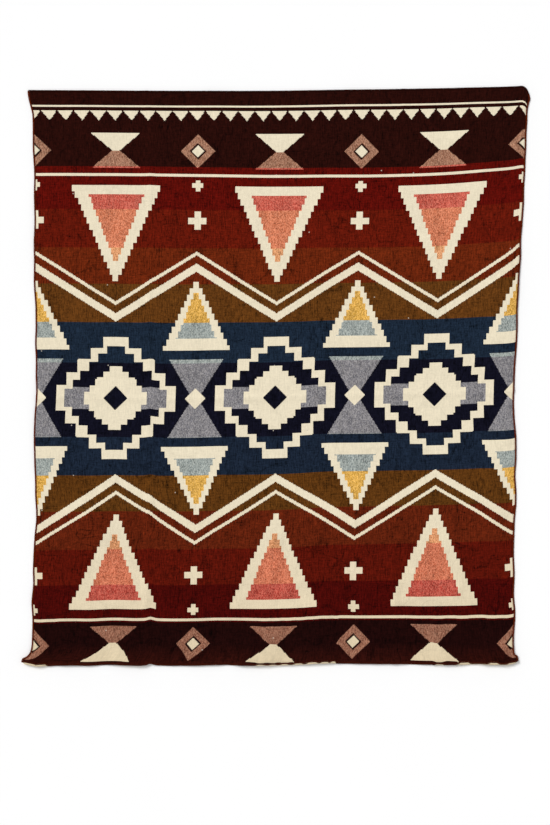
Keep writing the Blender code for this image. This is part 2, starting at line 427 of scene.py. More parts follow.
def lip_path(roll, along):
    """Follow the hem's edge as it feeds into its roll.

    Return how far out and how far up each point lies, and how far out the
    roll reaches.
    """
    bend = FULL_ROLL * LIP_RADIUS
    start = LIP_START + (1 - roll) * (LIP_LENGTH - LIP_START)
    out, up, furthest = np.zeros_like(along), np.zeros_like(along), np.zeros_like(along)
    reach = np.zeros_like(along)
    for step in range(LIP_STEPS):
        share = (step + 0.5) / LIP_STEPS
        angle = FULL_ROLL * ease(along * share - start, 0.0, bend)
        out = out + np.cos(angle) * along / LIP_STEPS
        up = up + np.sin(angle) * along / LIP_STEPS
        whole = FULL_ROLL * ease(LIP_LENGTH * share - start, 0.0, bend)
        reach = reach + np.cos(whole) * LIP_LENGTH / LIP_STEPS
        furthest = np.maximum(furthest, reach)
    return out, up, furthest


def ripple(place, far):
    """Return how a side's edge wavers: each side has its own line of the noise."""
    waver = [
        noise.noise((p * RIPPLE_WAVES, 3.1 * f, 6.5))
        for p, f in zip(place.ravel(), far.ravel())
    ]
    share = RIPPLE_SHARE_AT_TOP + RIPPLE_MORE_AT_HEM * place / CLOTH_LENGTH
    return SIDE_RIPPLE * np.array(waver).reshape(place.shape) * share


def plan_raw(across, down):
    """Return where a point of the flat cloth lies on the surface."""
    left = STITCH_REACH_OUT - read_curve(SIDES, SIDE_COLUMNS, "left", down)
    right = read_curve(SIDES, SIDE_COLUMNS, "right", down) - STITCH_REACH_OUT
    x = left + (across / CLOTH_WIDTH + 0.5) * (right - left)
    at_side = ease(np.abs(across), CLOTH_WIDTH / 2 - RIPPLE_REACH, CLOTH_WIDTH / 2)
    x = x + ripple(down, np.sign(across)) * at_side
    rise = read_curve(TOP, TOP_COLUMNS, "rise", x) - STITCH_REACH_OUT
    drop = read_curve(HEM, HEM_COLUMNS, "drop", x) - STITCH_REACH_OUT - HEM_DRAWN_IN
    part_way = down / CLOTH_LENGTH
    y = CLOTH_LENGTH / 2 - down + rise * (1 - part_way) - drop * part_way
    return x, y + drift(across, down)


def front_surface(across, down):
    """Return the points of the throw's face, as an array of x, y and z."""
    lip_from = CLOTH_LENGTH - LIP_LENGTH
    along = np.maximum(0.0, down - lip_from)
    roll = roll_of_hem(across)
    out, up, furthest = lip_path(roll, along)
    spare = (LIP_LENGTH - furthest) * ease(down, CLOTH_LENGTH - HEM_SLACK_REACH, lip_from)
    reached = np.minimum(down, lip_from) + out
    x, y = plan_raw(across, reached)
    rim = np.minimum(CLOTH_WIDTH / 2 - np.abs(across), np.minimum(down, CLOTH_LENGTH - down))
    tucked = THREAD_THICKNESS * (1 - ease(rim, 0.0, RIM_ZONE)) * (1 - roll / 2)
    height = underside(across, np.minimum(reached, CLOTH_LENGTH))
    z = height + up + tucked + NAP_DEPTH + CLOTH_THICKNESS
    return np.stack((x, y - spare, z), axis=-1)


# Places along each side at which its shape is measured.
OUTLINE_SAMPLES = 400
RIM_SAMPLES = 6000


def middle_of_plan():
    """Return the middle of the cloth's outline, which lies over the origin."""
    share = np.linspace(0.0, 1.0, OUTLINE_SAMPLES)
    across = (share - 0.5) * CLOTH_WIDTH
    down = share * CLOTH_LENGTH
    edge = np.full_like(share, CLOTH_WIDTH / 2)
    top, hem = np.zeros_like(share), np.full_like(share, CLOTH_LENGTH)
    sides = [plan_raw(-edge, down)[0], plan_raw(edge, down)[0]]
    ends = [plan_raw(across, top)[1], plan_raw(across, hem)[1]]
    middle_x = (np.min(sides) + np.max(sides)) / 2
    middle_y = (np.min(ends) + np.max(ends)) / 2
    return np.array((middle_x, middle_y, 0.0))


MIDDLE = middle_of_plan()


def cloth_face(across, down):
    """Return points of the throw's face in the frame's own place."""
    return front_surface(across, down) - MIDDLE


def start_piece():
    """Deselect everything, so that the next operator acts on its piece alone."""
    if bpy.context.mode != "OBJECT":
        bpy.ops.object.mode_set(mode="OBJECT")
    bpy.ops.object.select_all(action="DESELECT")


def apply_modifier(piece, kind, **settings):
    """Give a piece a modifier with these settings, and apply it."""
    modifier = piece.modifiers.new(kind.title(), kind)
    for name, value in settings.items():
        setattr(modifier, name, value)
    bpy.context.view_layer.objects.active = piece
    bpy.ops.object.modifier_apply(modifier=modifier.name)


def row_distance(share):
    """Return how far down a row lies, from its share of all the rows."""
    row = share * (LONG_ROWS + LIP_ROWS)
    lip_from = CLOTH_LENGTH - LIP_LENGTH
    long_part = np.minimum(row, LONG_ROWS) / LONG_ROWS * lip_from
    lip_part = np.maximum(row - LONG_ROWS, 0.0) / LIP_ROWS * LIP_LENGTH
    return long_part + lip_part


def make_cloth():
    """Shape a flat grid into the cloth's face, and give it its thickness."""
    start_piece()
    bpy.ops.mesh.primitive_grid_add(
        x_subdivisions=COLUMNS, y_subdivisions=LONG_ROWS + LIP_ROWS, size=2.0
    )
    cloth = bpy.context.object
    cloth.name = cloth.data.name = "woven_cloth"
    mesh = cloth.data
    flat = np.empty(len(mesh.vertices) * 3)
    mesh.vertices.foreach_get("co", flat)
    flat = flat.reshape(-1, 3)
    across = flat[:, 0] * CLOTH_WIDTH / 2
    down = row_distance((1.0 - flat[:, 1]) / 2)
    mesh.vertices.foreach_set("co", cloth_face(across, down).ravel())
    lay_threads(mesh, across, down)
    mesh.materials.append(cloth_material("throw_face", reverse=False))
    mesh.materials.append(cloth_material("throw_reverse", reverse=True))
    apply_modifier(
        cloth,
        "SOLIDIFY",
        thickness=CLOTH_THICKNESS,
        offset=-1.0,
        use_even_offset=True,
        material_offset=1,
        material_offset_rim=0,
    )
    lay_bake_map(cloth.data)
    start_piece()
    cloth.select_set(True)
    bpy.ops.object.shade_smooth()
    return cloth


def lay_threads(mesh, across, down):
    """Store in the cloth's own UV map where each point lies on the flat cloth."""
    threads = mesh.uv_layers[0]
    threads.name = "cloth"
    corners = np.empty(len(mesh.loops), dtype=np.int32)
    mesh.loops.foreach_get("vertex_index", corners)
    place = np.stack((across[corners] + CLOTH_WIDTH / 2, CLOTH_LENGTH - down[corners]), -1)
    threads.data.foreach_set("uv", place.astype(np.float32).ravel())


# The shares of the baking map's width that the two faces and the rim take.
BAKE_FACE = (0.004, 0.640)
BAKE_REVERSE = (0.660, 0.996)
BAKE_RIM = (0.645, 0.655)
BAKE_HEIGHT = (0.002, 0.998)
BAKE_RIM_CELL = (0.1, 0.9)
BAKE_STITCH_FILL = 0.9


def lay_bake_map(mesh):
    """Lay the face, the reverse and the rim side by side in a second UV map."""
    baking = mesh.uv_layers.new(name="OFBake")
    place = np.empty(len(mesh.loops) * 2)
    mesh.uv_layers["cloth"].data.foreach_get("uv", place)
    share = place.reshape(-1, 4, 2) / (CLOTH_WIDTH, CLOTH_LENGTH)
    face_count = COLUMNS * (LONG_ROWS + LIP_ROWS)
    reverse, rim = slice(face_count, 2 * face_count), slice(2 * face_count, None)
    laid = np.empty_like(share)
    low, high = BAKE_HEIGHT
    laid[..., 1] = low + share[..., 1] * (high - low)
    low, high = BAKE_FACE
    laid[:face_count, :, 0] = low + share[:face_count, :, 0] * (high - low)
    low, high = BAKE_REVERSE
    laid[reverse, :, 0] = high - share[reverse, :, 0] * (high - low)
    rim_count = len(laid) - 2 * face_count
    low, high = BAKE_RIM
    steps = np.arange(rim_count)[:, None]
    laid[rim, :, 0] = np.array((low, high, high, low))
    near, far = BAKE_RIM_CELL
    laid[rim, :, 1] = (steps + np.array((near, near, far, far))) / rim_count
    baking.data.foreach_set("uv", laid.astype(np.float32).ravel())


# The overlocked edging: one slanted loop of yarn after another round the rim,
# each with a short stitch of the needle thread on its inner end.
STITCH_PITCH = 0.0021
STITCH_REACH_IN = 0.0037
STITCH_SLANT = math.radians(14)
YARN_SPREAD = 1.75
YARN_RADIUS = THREAD_THICKNESS / 2
LOOP_RADIUS = CLOTH_THICKNESS / 2 + YARN_RADIUS
NEEDLE_STITCH = (0.00042, 0.00125, 0.00040)
PROBE = 0.0004


def make_loop():
    """Shape a ring into one wrap of yarn, long across the rim and slanted."""
    start_piece()
    bpy.ops.mesh.primitive_torus_add(
        major_segments=10,
        minor_segments=5,
        major_radius=LOOP_RADIUS,
        minor_radius=YARN_RADIUS,
        rotation=(math.pi / 2, 0.0, 0.0),
    )
    loop = bpy.context.object
    bpy.ops.object.transform_apply(location=False, rotation=True, scale=False)
    for inner, reach in ((True, STITCH_REACH_IN), (False, STITCH_REACH_OUT)):
        side = -1.0 if inner else 1.0
        select_vertices(loop, lambda point: point.x * side > 0.0)
        shift = side * (reach - LOOP_RADIUS - YARN_RADIUS)
        bpy.ops.object.mode_set(mode="EDIT")
        bpy.ops.transform.translate(value=(shift, 0.0, 0.0))
        bpy.ops.object.mode_set(mode="OBJECT")
    select_vertices(loop, lambda point: True)
    bpy.ops.object.mode_set(mode="EDIT")
    bpy.ops.transform.resize(value=(1.0, YARN_SPREAD, 1.0))
    bpy.ops.transform.rotate(
        value=STITCH_SLANT, orient_axis="Z", center_override=(0.0, 0.0, 0.0)
    )
    bpy.ops.object.mode_set(mode="OBJECT")
    return loop


def make_needle_stitch():
    """Shape a small ball into one stitch of the needle thread."""
    start_piece()
    inner_end = (-STITCH_REACH_IN + LOOP_RADIUS / 2, 0.0, LOOP_RADIUS + YARN_RADIUS / 2)
    bpy.ops.mesh.primitive_uv_sphere_add(
        segments=5, ring_count=4, radius=1.0, scale=NEEDLE_STITCH
    )
    stitch = bpy.context.object
    bpy.ops.object.mode_set(mode="EDIT")
    bpy.ops.mesh.select_all(action="SELECT")
    bpy.ops.transform.translate(value=inner_end)
    bpy.ops.object.mode_set(mode="OBJECT")
    bpy.ops.object.transform_apply(location=True, rotation=True, scale=True)
    return stitch


def select_vertices(piece, wanted):
    """Select the vertices whose place passes a test, and nothing else."""
    bpy.ops.object.mode_set(mode="EDIT")
    bpy.ops.mesh.select_mode(type="VERT")
    bpy.ops.mesh.select_all(action="DESELECT")
    bpy.ops.object.mode_set(mode="OBJECT")
    for vertex in piece.data.vertices:
        vertex.select = wanted(vertex.co)


def take_pattern(piece):
    """Return a piece's points, faces and UV places, and delete the piece."""
    mesh = piece.data
    points = np.array([vertex.co[:] for vertex in mesh.vertices])
    faces = [list(face.vertices) for face in mesh.polygons]
    corners = [corner.uv[:] for corner in mesh.uv_layers[0].data]
    places = [[corners[i] for i in face.loop_indices] for face in mesh.polygons]
    bpy.data.objects.remove(piece, do_unlink=True)
    return points, faces, places


def rim_places(side):
    """Return evenly spaced places on one side of the flat cloth's rim."""
    share = np.linspace(0.0, 1.0, RIM_SAMPLES)
    half = np.full_like(share, CLOTH_WIDTH / 2)
    lines = {
        "left": (-half, share * CLOTH_LENGTH),
        "right": (half, share * CLOTH_LENGTH),
        "top": ((share - 0.5) * CLOTH_WIDTH, np.zeros_like(share)),
        "hem": ((share - 0.5) * CLOTH_WIDTH, np.full_like(share, CLOTH_LENGTH)),
    }
    across, down = lines[side]
    steps = np.linalg.norm(np.diff(cloth_face(across, down), axis=0), axis=1)
    length = np.concatenate(([0.0], np.cumsum(steps)))
    count = round(length[-1] / STITCH_PITCH)
    middles = (np.arange(count) + 0.5) / count * length[-1]
    return np.interp(middles, length, across), np.interp(middles, length, down)


def unit(vectors):
    """Return vectors of length 1 in the same directions."""
    return vectors / np.linalg.norm(vectors, axis=-1, keepdims=True)


def rim_frames(side):
    """Return the middle of the rim at each stitch, and its three directions."""
    across, down = rim_places(side)
    inward = {"left": (1, 0), "right": (-1, 0), "top": (0, 1), "hem": (0, -1)}[side]
    here = cloth_face(across, down)
    inside = cloth_face(across + inward[0] * PROBE, down + inward[1] * PROBE)
    along = unit(np.gradient(here, axis=0))
    if side in ("top", "right"):
        along = -along
    away = here - inside
    out = unit(away - along * np.sum(away * along, axis=1, keepdims=True))
    up = np.cross(out, along)
    return here - up * CLOTH_THICKNESS / 2, out, along, up


def string_stitches(side, patterns, material):
    """Repeat the stitches along one side of the cloth, joined as one mesh."""
    middle, out, along, up = rim_frames(side)
    count = len(middle)
    grid = math.ceil(math.sqrt(count))
    points, faces, laid = [], [], []
    first = 0
    for part, (shape, shape_faces, places) in enumerate(patterns):
        copies = (
            middle[:, None, :]
            + out[:, None, :] * shape[None, :, 0:1]
            + along[:, None, :] * shape[None, :, 1:2]
            + up[:, None, :] * shape[None, :, 2:3]
        )
        points.append(copies.reshape(-1, 3))
        for copy in range(count):
            base = first + copy * len(shape)
            faces += [[base + corner for corner in face] for face in shape_faces]
            row, column = divmod(copy, grid)
            for u, v in (corner for place in places for corner in place):
                from_left = column + (part + BAKE_STITCH_FILL * u) / len(patterns)
                laid.append((from_left / grid, (row + BAKE_STITCH_FILL * v) / grid))
        first += count * len(shape)
    mesh = bpy.data.meshes.new("overlock_" + side)
    mesh.from_pydata(np.concatenate(points).tolist(), [], faces)
    baking = mesh.uv_layers.new(name="OFBake")
    baking.data.foreach_set("uv", np.array(laid, dtype=np.float32).ravel())
    mesh.shade_smooth()
    mesh.materials.append(material)
    piece = bpy.data.objects.new("overlock_" + side, mesh)
    bpy.context.scene.collection.objects.link(piece)
    return piece


class Reading:
    """A number that varies over a surface, worked on by Math nodes."""

    def __init__(self, tree, socket):
        self.tree = tree
        self.socket = socket

    def worked(self, operation, *others, clamp=False):
        node = self.tree.nodes.new("ShaderNodeMath")
        node.operation = operation
        node.use_clamp = clamp
        self.tree.links.new(self.socket, node.inputs[0])
        for place, other in enumerate(others, start=1):
            if isinstance(other, Reading):
                self.tree.links.new(other.socket, node.inputs[place])
            else:
                node.inputs[place].default_value = other
        return Reading(self.tree, node.outputs[0])

    def __add__(self, other):
        return self.worked("ADD", other)

    def __sub__(self, other):
        return self.worked("SUBTRACT", other)

    def __rsub__(self, other):
        return self.worked("MULTIPLY_ADD", -1.0, other)

    def __mul__(self, other):
        return self.worked("MULTIPLY", other)

    def __lt__(self, other):
        return self.worked("LESS_THAN", other)

    def __gt__(self, other):
        return self.worked("GREATER_THAN", other)

    def __and__(self, other):
        return self.worked("MULTIPLY", other)

    def __or__(self, other):
        return self.worked("MAXIMUM", other)

    def __abs__(self):
        return self.worked("ABSOLUTE")

    def without(self, other):
        return self.worked("SUBTRACT", other, clamp=True)

    def stepped(self, step):
        return self.worked("SNAP", step)

    def folded(self, reach):
        return self.worked("PINGPONG", reach)

    def between(self, low, high):
        return (self > low) & (self < high)


def new_group(name, inputs, outputs, kind="NodeSocketFloat"):
    """Start a node group, and return it, its inputs as readings, and its end."""
    tree = bpy.data.node_groups.new(name, "ShaderNodeTree")
    for label in inputs:
        tree.interface.new_socket(label, in_out="INPUT", socket_type="NodeSocketFloat")
    for label in outputs:
        tree.interface.new_socket(label, in_out="OUTPUT", socket_type=kind)
    start = tree.nodes.new("NodeGroupInput")
    end = tree.nodes.new("NodeGroupOutput")
    return tree, [Reading(tree, start.outputs[label]) for label in inputs], end


def give_out(tree, end, **sockets):
    """Join sockets to the group's outputs of the same names."""
    for name, socket in sockets.items():
        tree.links.new(socket, end.inputs[name])


def put_group(tree, group, **values):
    """Place a group in a material, and feed each named input."""
    node = tree.nodes.new("ShaderNodeGroup")
    node.node_tree = group
    for name, value in values.items():
        socket = node.inputs[name.replace("_", " ")]
        if isinstance(value, Reading):
            tree.links.new(value.socket, socket)
        else:
            socket.default_value = value
    return node


# The woven figures' own sizes. Columns of figures stand a third of the width
# apart, and everything is the same above and below the middle line.
MIDDLE_LINE = 1.013
COLUMN_SPACING = CLOTH_WIDTH / 3
FIGURE_THREAD = 0.0030
STAIR = 0.021
ARM_STAIR_SHARE = 0.85
HEART_REACH = 0.040
ARM_BAND = 0.036
SLOPE = 0.62
TIE_WAIST = 0.010
TIE_HEIGHT = 0.128
BEAD_REACH = 0.034
THICK_ZIGZAG = (0.252, 0.279)
THIN_ZIGZAG = (0.306, 0.318)
BAY_FOOT = 0.385
BAY_CORE_FOOT = 0.347
SMALL_CROSSES = (
    # above, arm, bar
    (0.585, 0.030, 0.0105),
    (0.700, 0.018, 0.0075),
)
LONG_LINE = (0.729, 0.738)
GLASS_WAIST_AT = 0.814
GLASS_WAIST = 0.012
GLASS_HEIGHT = 0.058
GLASS_FLARE = 1.15
SQUARE_RIM = (0.028, 0.056)
SQUARE_HEART = 0.020
TEETH = (0.905, 0.948)
TOOTH_TIP = 0.915
TOOTH_SLOPE = 1.3
TOOTH_SPACING = COLUMN_SPACING / 10
TOP_LINE = (0.960, 0.966)


def stepped_cross(aside, above, arm, step):
    """A cross with stairs between its arms."""
    shape = (aside < step) & (above < arm)
    for stair in (1, 2):
        width, height = step * (stair + 1), arm - step * stair * ARM_STAIR_SHARE
        shape = shape | ((aside < width) & (above < height))
    for stair in (0, 1, 2):
        width, height = arm - step * stair * ARM_STAIR_SHARE, step * (stair + 1)
        shape = shape | ((aside < width) & (above < height))
    return shape


def pyramid(aside, above, tip, base, width):
    """A triangle with stairs for sides, from its tip out to its base."""
    climbed = (above - tip).stepped(STAIR) + STAIR
    return (aside < climbed * (width / (base - tip))) & above.between(tip, base)


def small_cross(aside, above, arm, bar):
    """A plain cross of four equal arms."""
    upright = (aside < bar) & (above < arm)
    return upright | ((aside < arm) & (above < bar))


def woven_figures():
    """Where the light yarn, and the mixed yarns, form the figures."""
    group, (across, down), end = new_group(
        "woven_figures", ("Across", "Down"), ("Light", "Mixed")
    )
    above = abs(down - MIDDLE_LINE).stepped(FIGURE_THREAD) + FIGURE_THREAD / 2
    aside = (across.stepped(FIGURE_THREAD) + FIGURE_THREAD / 2).folded(COLUMN_SPACING / 2)
    between = COLUMN_SPACING / 2 - aside

    # Stepped crosses on the middle line.
    border = stepped_cross(aside, above, arm=0.200, step=0.042)
    field = stepped_cross(aside, above, arm=0.171, step=0.030)
    core = stepped_cross(aside, above, arm=0.105, step=0.021)
    heart = (aside + above) < HEART_REACH
    light = border.without(field) | core.without(heart)
    mixed = (above < ARM_BAND) & field.without(core)

    # Bow ties between them, each tied by a bead.
    tie = (between < above * SLOPE + TIE_WAIST) & (above < TIE_HEIGHT)
    mixed = mixed | tie.without(border)
    light = light | ((between + above) < BEAD_REACH)

    # A thick and a thin zigzag.
    slanted = above - aside * SLOPE
    light = light | slanted.between(*THICK_ZIGZAG) | slanted.between(*THIN_ZIGZAG)

    # Pyramids in the bays of the zigzags.
    bay = pyramid(between, BAY_FOOT - above, tip=0.0, base=0.225, width=0.108)
    bay_core = pyramid(between, BAY_CORE_FOOT - above, tip=0.0, base=0.150, width=0.062)
    light = light | bay.without(bay_core)
    mixed = mixed | bay_core

    # Pyramids on their tips, over the middle of each column.
    tall = pyramid(aside, above, tip=0.385, base=0.700, width=0.144)
    tall_core = pyramid(aside, above, tip=0.450, base=0.668, width=0.086)
    light = light | tall.without(tall_core)
    mixed = mixed | tall_core

    # Small crosses between the pyramids, and a line across the cloth.
    for height, arm, bar in SMALL_CROSSES:
        light = light | small_cross(between, abs(above - height), arm, bar)
    light = light | above.between(*LONG_LINE)

    # Hourglasses and nested squares in the end bands.
    beyond = above - GLASS_WAIST_AT
    from_waist = abs(beyond)
    glass = (aside < from_waist * GLASS_FLARE + GLASS_WAIST) & (from_waist < GLASS_HEIGHT)
    light = light | (glass & (beyond > 0.0))
    mixed = mixed | (glass & (beyond < 0.0))
    square = from_waist + between
    mixed = mixed | square.between(*SQUARE_RIM)
    light = light | (square < SQUARE_HEART)

    # A row of teeth over a thin line, close to the top edge.
    tooth = between.folded(TOOTH_SPACING / 2) * TOOTH_SLOPE
    light = light | ((above - TOOTH_TIP > tooth) & above.between(*TEETH))
    light = light | above.between(*TOP_LINE)

    give_out(group, end, Light=light.socket, Mixed=mixed.without(light).socket)
    return group


# The ground's bands of colour, by how far down each one starts. Where light
# and ground yarn are mixed, the band shows its second colour.
BAND_COLUMNS = ("starts", "ground", "mixed")
BANDS = (
    (0.0000, (38, 10, 6), (154, 106, 83)),
    (0.2508, (87, 11, 5), (192, 82, 67)),
    (0.3861, (95, 21, 7), (204, 115, 81)),
    (0.5115, (101, 35, 11), (214, 148, 100)),
    (0.6336, (93, 54, 18), (214, 163, 70)),
    (0.7583, (10, 11, 13), (70, 60, 50)),
    (0.7623, (26, 38, 53), (148, 156, 153)),
    (0.8910, (15, 15, 28), (125, 123, 128)),
    (1.1352, (25, 35, 50), (148, 156, 153)),
    (1.2619, (10, 11, 13), (70, 60, 50)),
    (1.2659, (89, 52, 16), (214, 163, 70)),
    (1.3794, (93, 31, 11), (207, 140, 94)),
    (1.5048, (86, 17, 6), (198, 106, 76)),
    (1.6302, (69, 7, 4), (180, 70, 58)),
    (1.7523, (28, 6, 5), (138, 88, 69)),
)
# Painted light: over the last stretch to the hem the ground is painted lighter and redder, for
# the lifted hem catching the light.
HEM_GROUND_PAINTED_LIGHT = (50, 14, 8)
HEM_PAINTED_LIGHT_FADE = (1.830, 1.900)
LIGHT_YARN = (232, 220, 193)
HEM_LIGHT = (219, 201, 168)
LIGHT_FADE = (1.350, 1.900)
LINT = (200, 190, 176)
EDGING_YARN = {
    "top": (42, 11, 5),
    "left": (97, 33, 5),
    "right": (97, 33, 5),
    "hem": (66, 22, 8),
}


def tone(colour):
    """Turn a colour in screen values into the linear values of a material."""
    linear = []
    for value in colour:
        share = value / 255
        linear.append(share / 12.92 if share <= 0.04045 else ((share + 0.055) / 1.055) ** 2.4)
    return (*linear, 1.0)


def risen(reading, start, stop):
    """Rise evenly from 0 at start to 1 at stop."""
    return (reading - start).worked("DIVIDE", stop - start, clamp=True)


def band_ramp(tree, share, column):
    """A ramp that steps through one column of the bands' colours."""
    ramp = tree.nodes.new("ShaderNodeValToRGB")
    ramp.color_ramp.interpolation = "CONSTANT"
    stops = ramp.color_ramp.elements
    place = BAND_COLUMNS.index(column)
    while len(stops) > 1:
        stops.remove(stops[-1])
    stops[0].position = 0.0
    stops[0].color = tone(BANDS[0][place])
    for band in BANDS[1:]:
        stops.new(band[0] / CLOTH_LENGTH).color = tone(band[place])
    tree.links.new(share.socket, ramp.inputs["Fac"])
    return ramp.outputs["Color"]


def mixed_colour(tree, share, first, second):
    """Mix two colours by a reading; the second may be a plain colour."""
    mix = tree.nodes.new("ShaderNodeMix")
    mix.data_type = "RGBA"
    tree.links.new(share.socket, mix.inputs["Factor"])
    tree.links.new(first, mix.inputs["A"])
    if isinstance(second, tuple):
        mix.inputs["B"].default_value = second
    else:
        tree.links.new(second, mix.inputs["B"])
    return mix.outputs["Result"]


def ground_bands():
    """The ground's, the mixed yarns' and the light yarn's colour, by distance down, with painted
    light on the ground near the hem.
    """
    group, (down,), end = new_group(
        "ground_bands", ("Down",), ("Ground", "Mixed", "Light"), kind="NodeSocketColor"
    )
    share = down * (1 / CLOTH_LENGTH)
    # Painted light: the ground lightens and reddens towards the hem.
    painted_hem_light = risen(down, *HEM_PAINTED_LIGHT_FADE)
    ground = mixed_colour(group, painted_hem_light, band_ramp(group, share, "ground"), tone(HEM_GROUND_PAINTED_LIGHT))
    plain = group.nodes.new("ShaderNodeRGB")
    plain.outputs["Color"].default_value = tone(LIGHT_YARN)
    light = mixed_colour(group, risen(down, *LIGHT_FADE), plain.outputs["Color"], tone(HEM_LIGHT))
    give_out(group, end, Ground=ground, Mixed=band_ramp(group, share, "mixed"), Light=light)
    return group


def place_at(tree, first, second):
    """Join two readings as a place for a texture."""
    joined = tree.nodes.new("ShaderNodeCombineXYZ")
    tree.links.new(first.socket, joined.inputs["X"])
    tree.links.new(second.socket, joined.inputs["Y"])
    return joined.outputs["Vector"]


def cloudy(tree, first, second, detail, roughness=0.5):
    """A soft noise at the place of two readings, from 0 to 1."""
    texture = tree.nodes.new("ShaderNodeTexNoise")
    texture.noise_dimensions = "2D"
    texture.inputs["Scale"].default_value = 1.0
    texture.inputs["Detail"].default_value = detail
    texture.inputs["Roughness"].default_value = roughness
    tree.links.new(place_at(tree, first, second), texture.inputs["Vector"])
    return Reading(tree, texture.outputs["Fac"])


# A float of the weave passes over this many threads.
FLOAT_LENGTH = 2.5


def thread_relief():
    """Threads that cross over and under, and each crossing's own shade."""
    group, (across, down, pitch), end = new_group(
        "thread_relief", ("Across", "Down", "Pitch"), ("Height", "Chance")
    )
    warp, weft = across.worked("DIVIDE", pitch), down.worked("DIVIDE", pitch)
    wave = (warp * math.pi).worked("SINE") * (weft * math.pi).worked("SINE")
    height = wave * 0.5 + 0.5
    chance = group.nodes.new("ShaderNodeTexWhiteNoise")
    chance.noise_dimensions = "2D"
    column = warp.worked("FLOOR")
    below = (weft * (1 / FLOAT_LENGTH) + column * 0.5).worked("FLOOR")
    group.links.new(place_at(group, column, below), chance.inputs["Vector"])
    give_out(group, end, Height=height.socket, Chance=chance.outputs["Value"])
    return group


# A fine crease runs where a noise passes its middle value, in the patches
# where another noise is high. The patches grow towards the hem.
CREASE_SHARPNESS = 36.0
UPRIGHT_PATCHES = (0.50, 0.60)
LEVEL_PATCHES = (0.56, 0.66)
PATCHES_GROW_FROM = 0.2
PATCHES_GROWTH = 0.10


def fine_creases(group, across, down):
    """Thin broken lines where the soft cloth has crinkled, more near the hem."""
    upright = cloudy(group, across * 18.0, down * 7.0, detail=1.0)
    level = cloudy(group, across * 8.0 + 40.0, down * 17.0, detail=1.0)
    line = (1.0 - abs(upright - 0.5) * CREASE_SHARPNESS).worked("MAXIMUM", 0.0)
    cross_line = (1.0 - abs(level - 0.5) * CREASE_SHARPNESS).worked("MAXIMUM", 0.0)
    patch = cloudy(group, across * 9.0, down * 9.0 + 20.0, detail=1.0)
    cross_patch = cloudy(group, across * 7.0 + 60.0, down * 7.0, detail=1.0)
    crumpled = risen(down, PATCHES_GROW_FROM, CLOTH_LENGTH) * PATCHES_GROWTH
    shown = risen(patch + crumpled, *UPRIGHT_PATCHES)
    cross_shown = risen(cross_patch + crumpled, *LEVEL_PATCHES)
    return (line * shown) | (cross_line * cross_shown)


# Specks of lint: cells to a metre, how far a speck reaches in its cell, and
# the share of the cells that have none.
LINT_CELLS = 9.0
LINT_REACH = 0.018
LINT_FREE = 0.90


def brushed_nap():
    """Streaks, clouds and fine creases in the cloth, and specks of lint on it."""
    group, (across, down), end = new_group(
        "brushed_nap", ("Across", "Down"), ("Streak", "Fleck", "Cloud", "Crease", "Lint")
    )
    upright = cloudy(group, across * 250.0, down * 36.0, detail=2.0, roughness=0.55)
    level = cloudy(group, across * 40.0, down * 260.0, detail=2.0, roughness=0.55)
    streak = upright * 0.6 + level * 0.4
    fleck = cloudy(group, across * 300.0, down * 240.0, detail=2.0, roughness=0.6)
    cloud = cloudy(group, across * 22.0, down * 9.0, detail=3.0, roughness=0.6)
    speck = group.nodes.new("ShaderNodeTexVoronoi")
    speck.voronoi_dimensions = "2D"
    speck.inputs["Scale"].default_value = LINT_CELLS
    group.links.new(place_at(group, across, down), speck.inputs["Vector"])
    picked = group.nodes.new("ShaderNodeSeparateColor")
    group.links.new(speck.outputs["Color"], picked.inputs["Color"])
    near = Reading(group, speck.outputs["Distance"]) < LINT_REACH
    lint = near & (Reading(group, picked.outputs["Red"]) > LINT_FREE)
    crease = fine_creases(group, across, down)
    give_out(group, end, Streak=streak.socket, Fleck=fleck.socket, Cloud=cloud.socket)
    give_out(group, end, Crease=crease.socket, Lint=lint.socket)
    return group


WEAVE = {
    "figures": woven_figures(),
    "bands": ground_bands(),
    "threads": thread_relief(),
    "nap": brushed_nap(),
}
THREAD_PITCH = 0.0016

# How strongly each unevenness tones the plain ground, and then the mixed yarns;
# the creases' darkening and the threads' crests lighter than their dips are painted shade. The
# light yarn shows little of it.
STREAK_SHADE = (2.60, 1.04)
FLECK_SHADE = (0.60, 1.30)
CROSSING_SHADE = (0.50, 0.70)
CREASE_PAINTED_SHADE = (0.40, 0.15)
THREAD_PAINTED_SHADE = 0.25
CLOUD_SHADE = 0.5
SHADE_LOST_ON_LIGHT = 0.85
LIGHTER_CROSSING = 0.08
LINT_COVER = 0.75
THREAD_RELIEF = 0.8


def weighed(reading, mixed, on_ground, on_mixed):
    """Weigh a reading, one way on plain ground and another on mixed yarns."""
    return reading * (mixed * (on_mixed - on_ground) + on_ground)


def shaded_colour(tree, colour, shade):
    """Lighten or darken a colour by a reading around 1."""
    scale = tree.nodes.new("ShaderNodeVectorMath")
    scale.operation = "SCALE"
    tree.links.new(colour, scale.inputs[0])
    tree.links.new(shade.socket, scale.inputs["Scale"])
    return scale.outputs["Vector"]


def raised(tree, shader, height, strength, distance):
    """Give a shader the relief of a reading of height."""
    bump_node = tree.nodes.new("ShaderNodeBump")
    bump_node.inputs["Strength"].default_value = strength
    bump_node.inputs["Distance"].default_value = distance
    tree.links.new(height.socket, bump_node.inputs["Height"])
    tree.links.new(bump_node.outputs["Normal"], shader.inputs["Normal"])


def start_material(name, roughness, specular, sheen):
    """Start a material, and return it, its nodes and its shader."""
    material = bpy.data.materials.new(name)
    material.use_nodes = True
    tree = material.node_tree
    shader = tree.nodes["Principled BSDF"]
    shader.inputs["Roughness"].default_value = roughness
    shader.inputs["Specular IOR Level"].default_value = specular
    shader.inputs["Sheen Weight"].default_value = sheen
    shader.inputs["Sheen Roughness"].default_value = 0.45
    return material, tree, shader


